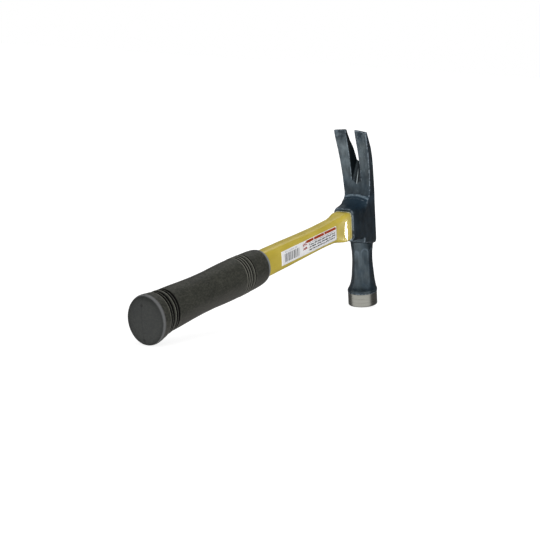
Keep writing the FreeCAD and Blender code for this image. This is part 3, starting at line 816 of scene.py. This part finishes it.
def grip_rubber():
    """Matte black rubber with a fine pebble, painted lighter underneath as if lit from below, with painted
    shade in the grooves and painted highlights on its lips and rims.
    """
    shader = Shader("grip_rubber", IOR=1.38)
    along, across, height = (shader.axis(name) for name in "XYZ")
    groove = shader.attribute("groove")
    cloud = shader.ramp(shader.noise(0.06, 4.0), 0.35, 0.65)
    pebble = shader.noise(1.2, 3.0)
    mottle = shader.noise(0.5, 4.0, stretch=(0.7, 1.0, 1.4))
    base = shader.blend(cloud, colour(46, 47, 41), colour(55, 56, 49))
    base = shader.layer(base, (78, 78, 71), shader.ramp(pebble, 0.48, 0.66, 0.0, 0.6))
    base = shader.layer(base, (84, 84, 75), shader.ramp(mottle, 0.5, 0.64, 0.0, 0.36))
    base = shader.layer(base, (28, 29, 25), shader.ramp(mottle, 0.5, 0.38, 0.0, 0.36))

    # The grooves and the lips beside them: painted shade in the grooves and painted highlights on the lips.
    sunk = shader.ramp(groove, 0.06, 0.4)
    base = shader.layer(base, (5, 5, 5), sunk)
    shader.set("Specular IOR Level", shader.math("SUBTRACT", 0.5, shader.product(sunk, 0.4)))
    # Painted highlight on the lips beside the grooves.
    base = shader.layer(base, (132, 132, 122), shader.ramp(groove, -0.04, -0.2, 0.0, 0.75))

    # The face of the butt, painted highlights on its rim and on the mouth of the sleeve, and painted light
    # on the underside.
    butt = shader.ramp(along, *BUTT_PLACES, 1.0, 0.0)
    base = shader.layer(base, (31, 34, 35), 0.75, butt)
    # Painted highlight on the butt's rim.
    base = shader.layer(base, (116, 117, 119), 0.75, shader.window(along, *BUTT_RIM_HIGHLIGHT))
    # Painted highlight on the mouth of the sleeve.
    base = shader.layer(base, (150, 156, 162), 0.8, shader.ramp(along, *MOUTH_RIM_HIGHLIGHT))
    # Painted light: the underside is lighter towards the bottom, as if lit from below.
    base = shader.layer(base, (100, 98, 94), shader.ramp(height, *UNDERSIDE_LIGHT_HEIGHTS, 0.0, 0.6),
                        shader.ramp(along, *UNDERSIDE_LIGHT_PLACES), shader.ramp(groove, 0.1, 0.4, 1.0, 0.0))

    # The mould seam down the butt, and two dimples on it painted as dark spots of shade.
    seam = shader.ramp(shader.math("ABSOLUTE", across), 0.15, 0.45, 1.0, 0.0)
    base = shader.layer(base, (16, 17, 17), 0.45, seam, butt)
    spot = shader.node("ShaderNodeCombineXYZ", sockets={1: across, 2: height})
    for level in BUTT_DIMPLES:
        reach = shader.node("ShaderNodeVectorMath", outputs="Value", operation="DISTANCE",
                            sockets={0: spot, 1: (0, 0, level)})
        base = shader.layer(base, (10, 10, 10), 0.8, shader.ramp(reach, 1.0, 1.5, 1.0, 0.0), butt)
    shader.set("Base Color", base)
    shader.set("Roughness", shader.ramp(pebble, 0.3, 0.7, 0.46, 0.66))
    shader.set("Normal", shader.bump(pebble, 0.6, 0.4))
    return shader.material


# The label's areas: two places along the handle, then two heights.
STRIPE_AREA = (-151.0, -125.0, 83.0, 91.0)
CAPTION_AREA = (-150.0, -128.0, 91.8, 93.2)
ROW_AREA = (-108.0, -60.0, 82.3, 90.6)
ROW_STEP = 2.3
BAR_AREA = (-112.0, -58.2, 91.4, 93.9)
BAR_GAPS = (-99.0, -80.0)
BAR_GAP_WIDTH = 1.0
MARK_AREA = (-118.5, -111.0, 86.0, 93.2)


def label_print():
    """A generic printed film: a block of stripes, a red bar, rows of broken grey lines and a
    plain mark, with no letters."""
    shader = Shader("label_print", Roughness=0.3)
    along = shader.axis("X")
    up = shader.axis("Z")

    def inside(value, low, high):
        return shader.product(shader.math("GREATER_THAN", value, low), shader.math("LESS_THAN", value, high))

    def area(left, right, bottom, top):
        return shader.product(inside(along, left, right), inside(up, bottom, top))

    def broken(stretch, low, high):
        return shader.ramp(shader.noise(1.0, 1.0, stretch=stretch), low, high)

    base = shader.blend(broken((0.06, 0.06, 0.06), 0.3, 0.7), colour(248, 248, 250), colour(255, 255, 255))
    base = shader.layer(base, (24, 24, 30), 0.95, area(*STRIPE_AREA), broken((0.95, 0, 0), 0.46, 0.54))
    base = shader.layer(base, (80, 80, 86), 0.7, area(*CAPTION_AREA), broken((1.3, 0, 1.5), 0.5, 0.56))
    rows = shader.math("GREATER_THAN", shader.math("PINGPONG", up, ROW_STEP / 2), 0.45)
    base = shader.layer(base, (20, 20, 26), 0.95, rows, broken((0.62, 0, 0.43), 0.42, 0.5), area(*ROW_AREA))
    bar = area(*BAR_AREA)
    for left in BAR_GAPS:
        bar = shader.product(bar, shader.math("SUBTRACT", 1.0, inside(along, left, left + BAR_GAP_WIDTH)))
    base = shader.layer(base, (174, 60, 4), bar)
    base = shader.layer(base, (168, 44, 30), 0.85, area(*MARK_AREA), broken((0.5, 0, 0.5), 0.46, 0.5))
    shader.set("Base Color", base)
    return shader.material


def cast_resin():
    """Cloudy dark epoxy."""
    shader = Shader("cast_resin", Roughness=0.25)
    cloud = shader.ramp(shader.noise(0.3, 3.0), 0.35, 0.65)
    shader.set("Base Color", shader.blend(cloud, colour(40, 44, 42), colour(62, 64, 56)))
    shader.set("Normal", shader.bump(shader.noise(0.5, 3.0), 0.3, 0.3))
    return shader.material


def pale_bead():
    """Resin squeezed out pale and uneven at the mouth of the eye."""
    shader = Shader("pale_bead", Roughness=0.3)
    cloud = shader.ramp(shader.noise(0.8, 3.0), 0.35, 0.65)
    shader.set("Base Color", shader.blend(cloud, colour(150, 150, 112), colour(206, 208, 190)))
    return shader.material


def rod_fibre():
    """Pultruded glass fibre, with its strands along the rod."""
    shader = Shader("rod_fibre", Roughness=0.5)
    strands = shader.ramp(shader.noise(1.0, 3.0, stretch=(0.05, 3, 3)), 0.35, 0.65)
    shader.set("Base Color", shader.blend(strands, colour(190, 186, 150), colour(214, 208, 178)))
    return shader.material


# ---------------------------------------------------------------- camera, floor and light

# The camera in the head's frame, in millimetres and degrees.
CAMERA_SPOT = (-1914.38, -1143.97, 671.5)
CAMERA_TURN = 33.17
CAMERA_DROP = 15.83
CAMERA_ROLL = -3.22
CAMERA_LENS = 156.99
SENSOR = 36.0
CAMERA_REACH = 50


def add_camera():
    """The camera of the main view, on the label's side, above the handle and looking at the head."""
    turn = math.radians(CAMERA_TURN)
    drop = math.radians(CAMERA_DROP)
    roll = math.radians(CAMERA_ROLL)
    ahead = Vector((math.cos(drop) * math.cos(turn), math.cos(drop) * math.sin(turn), -math.sin(drop)))
    right = Vector((math.sin(turn), -math.cos(turn), 0))
    up = right.cross(ahead)
    level_right = math.cos(roll) * right + math.sin(roll) * up
    level_up = -math.sin(roll) * right + math.cos(roll) * up
    axes = [HEAD_TO_ROW.to_3x3() @ axis for axis in (level_right, level_up, -ahead)]
    data = bpy.data.cameras.new("camera")
    data.lens = CAMERA_LENS
    data.sensor_width = SENSOR
    data.clip_end = CAMERA_REACH
    camera = bpy.data.objects.new("camera", data)
    bpy.context.collection.objects.link(camera)
    spot = HEAD_TO_ROW @ (Vector(CAMERA_SPOT) * MM)
    camera.matrix_world = Matrix.Translation(spot) @ Matrix(axes).transposed().to_4x4()
    bpy.context.scene.camera = camera


# The floor, in metres. Its glow fades up to white away from the tool, and shows a faint shadow.
FLOOR_HALF = 6.0
FLOOR_GREY = 0.45
FLOOR_FADE = (0.3, 0.9)
FLOOR_GLOW = 0.84


def add_floor():
    """A plain pale floor that lights nothing and isn't seen in reflections."""
    corners = [(x * FLOOR_HALF, y * FLOOR_HALF, 0) for x, y in ((-1, -1), (1, -1), (1, 1), (-1, 1))]
    mesh = bpy.data.meshes.new("floor")
    mesh.from_pydata(corners, [], [(0, 1, 2, 3)])
    floor = bpy.data.objects.new("floor", mesh)
    bpy.context.collection.objects.link(floor)
    material = bpy.data.materials.new("pale_floor")
    material.use_nodes = True
    tree = material.node_tree
    surface = tree.nodes["Principled BSDF"]
    surface.inputs["Base Color"].default_value = (FLOOR_GREY, FLOOR_GREY, FLOOR_GREY, 1)
    surface.inputs["Roughness"].default_value = 1.0
    surface.inputs["Specular IOR Level"].default_value = 0.0
    surface.inputs["Emission Color"].default_value = (1, 1, 1, 1)
    place = tree.nodes.new("ShaderNodeTexCoord")
    length = tree.nodes.new("ShaderNodeVectorMath")
    length.operation = "LENGTH"
    fade = tree.nodes.new("ShaderNodeMapRange")
    fade.inputs["From Min"].default_value = FLOOR_FADE[0]
    fade.inputs["From Max"].default_value = FLOOR_FADE[1]
    fade.inputs["To Min"].default_value = FLOOR_GLOW
    fade.inputs["To Max"].default_value = 1.0
    tree.links.new(place.outputs["Object"], length.inputs[0])
    tree.links.new(length.outputs["Value"], fade.inputs["Value"])
    tree.links.new(fade.outputs["Result"], surface.inputs["Emission Strength"])
    mesh.materials.append(material)
    floor.visible_glossy = False
    floor.visible_diffuse = False


def add_light(name, target, azimuth, elevation, distance, width, height, power, spread=180):
    """A soft box that faces a spot on the tool, from a direction in degrees and a distance in
    metres. The power is in watts."""
    data = bpy.data.lights.new(name, "AREA")
    data.shape = "RECTANGLE"
    data.size = width
    data.size_y = height
    data.energy = power
    data.spread = math.radians(spread)
    light = bpy.data.objects.new(name, data)
    bpy.context.collection.objects.link(light)
    turn = math.radians(azimuth)
    lift = math.radians(elevation)
    away = Vector((math.cos(lift) * math.cos(turn), math.cos(lift) * math.sin(turn), math.sin(lift)))
    light.location = Vector(target) + away * distance
    light.rotation_euler = away.to_track_quat("Z", "Y").to_euler()
    return light


# Spots that the lights face, in metres in the frame that the tool rests in.
HEAD_SPOT = (0.1, 0.0, 0.08)
MIDDLE_SPOT = (0.0, 0.0, 0.08)
SHOULDER_SPOT = (0.1326, -0.009, 0.0796)


def add_shoulder_light(jacket):
    """A low panel beside the tool, seen only as a bright reflection in the jacket's shoulder."""
    panel = add_light("low_panel", SHOULDER_SPOT, azimuth=293.5, elevation=-15, distance=0.2,
                      width=0.11, height=0.05, power=0.085, spread=34)
    panel.visible_diffuse = False
    panel.visible_camera = False
    lit = bpy.data.collections.new("lit_by_panel")
    lit.objects.link(jacket)
    panel.light_linking.receiver_collection = lit


WORLD_BRIGHT_AZIMUTH = 195.0
WORLD_SIDE_FADE = (0.06, 0.24)
WORLD_TOP_FADE = (0.75, 0.25)
WORLD_DIM = 0.2
WORLD_BRIGHT = 1.6


def add_world():
    """A room that is bright round the handle side and the camera, and dim above and behind the head."""
    world = bpy.data.worlds.new("studio")
    bpy.context.scene.world = world
    world.use_nodes = True
    tree = world.node_tree
    tree.nodes.clear()

    def node(kind, *values, output=0, **settings):
        item = tree.nodes.new(kind)
        for key, value in settings.items():
            setattr(item, key, value)
        for socket, value in zip(item.inputs, values):
            if isinstance(value, bpy.types.NodeSocket):
                tree.links.new(value, socket)
            else:
                socket.default_value = value
        return item.outputs[output]

    def fade(value, low, high):
        return node("ShaderNodeMapRange", value, low, high, 0.0, 1.0, interpolation_type="SMOOTHSTEP")

    direction = node("ShaderNodeTexCoord", output="Generated")
    bright_turn = math.radians(WORLD_BRIGHT_AZIMUTH)
    bright_way = (math.cos(bright_turn), math.sin(bright_turn), 0)
    toward = node("ShaderNodeVectorMath", direction, bright_way, output="Value", operation="DOT_PRODUCT")
    height = node("ShaderNodeSeparateXYZ", direction, output="Z")
    side = fade(toward, *WORLD_SIDE_FADE)
    below = fade(height, *WORLD_TOP_FADE)
    glow = node("ShaderNodeMath", side, below, operation="MULTIPLY")
    strength = node("ShaderNodeMapRange", glow, 0.0, 1.0, WORLD_DIM, WORLD_BRIGHT)
    white = (1, 1, 1, 1)
    room = node("ShaderNodeBackground", white, strength)
    paper = node("ShaderNodeBackground", white, 1.0)
    seen = node("ShaderNodeLightPath", output="Is Camera Ray")
    mix = node("ShaderNodeMixShader", seen, room, paper)
    output = tree.nodes.new("ShaderNodeOutputWorld")
    tree.links.new(mix, output.inputs["Surface"])


bpy.context.scene.view_settings.view_transform = "Standard"
add_camera()
add_floor()
add_world()
add_light("far_fill", HEAD_SPOT, azimuth=20, elevation=50, distance=2.0,
          width=1.0, height=1.0, power=4)
top_fill = add_light("top_fill", MIDDLE_SPOT, azimuth=230, elevation=78, distance=2.0,
                     width=1.5, height=1.5, power=14)
top_fill.visible_glossy = False

pieces = [
    (make_forging(forging_paint()), "head", "head_paint"),
    (make_striking_face(ground_steel()), "head", "head_paint"),
    (make_jacket(jacket_plastic()), "handle_jacket", "jacket_plastic"),
    (make_grip(grip_rubber()), "grip", "grip_rubber"),
    (make_label(label_print()), "label", "label_film"),
    (make_bead(pale_bead()), "seal_bead", "bead_resin"),
]
for piece, node, slot in pieces:
    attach(piece, "root")
    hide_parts(node)
add_shoulder_light(pieces[2][0])
for node, material in (("handle_core", rod_fibre()), ("epoxy_fill", cast_resin())):
    shown = frame["nodes"][node]
    for slot in shown.material_slots:
        slot.material = material
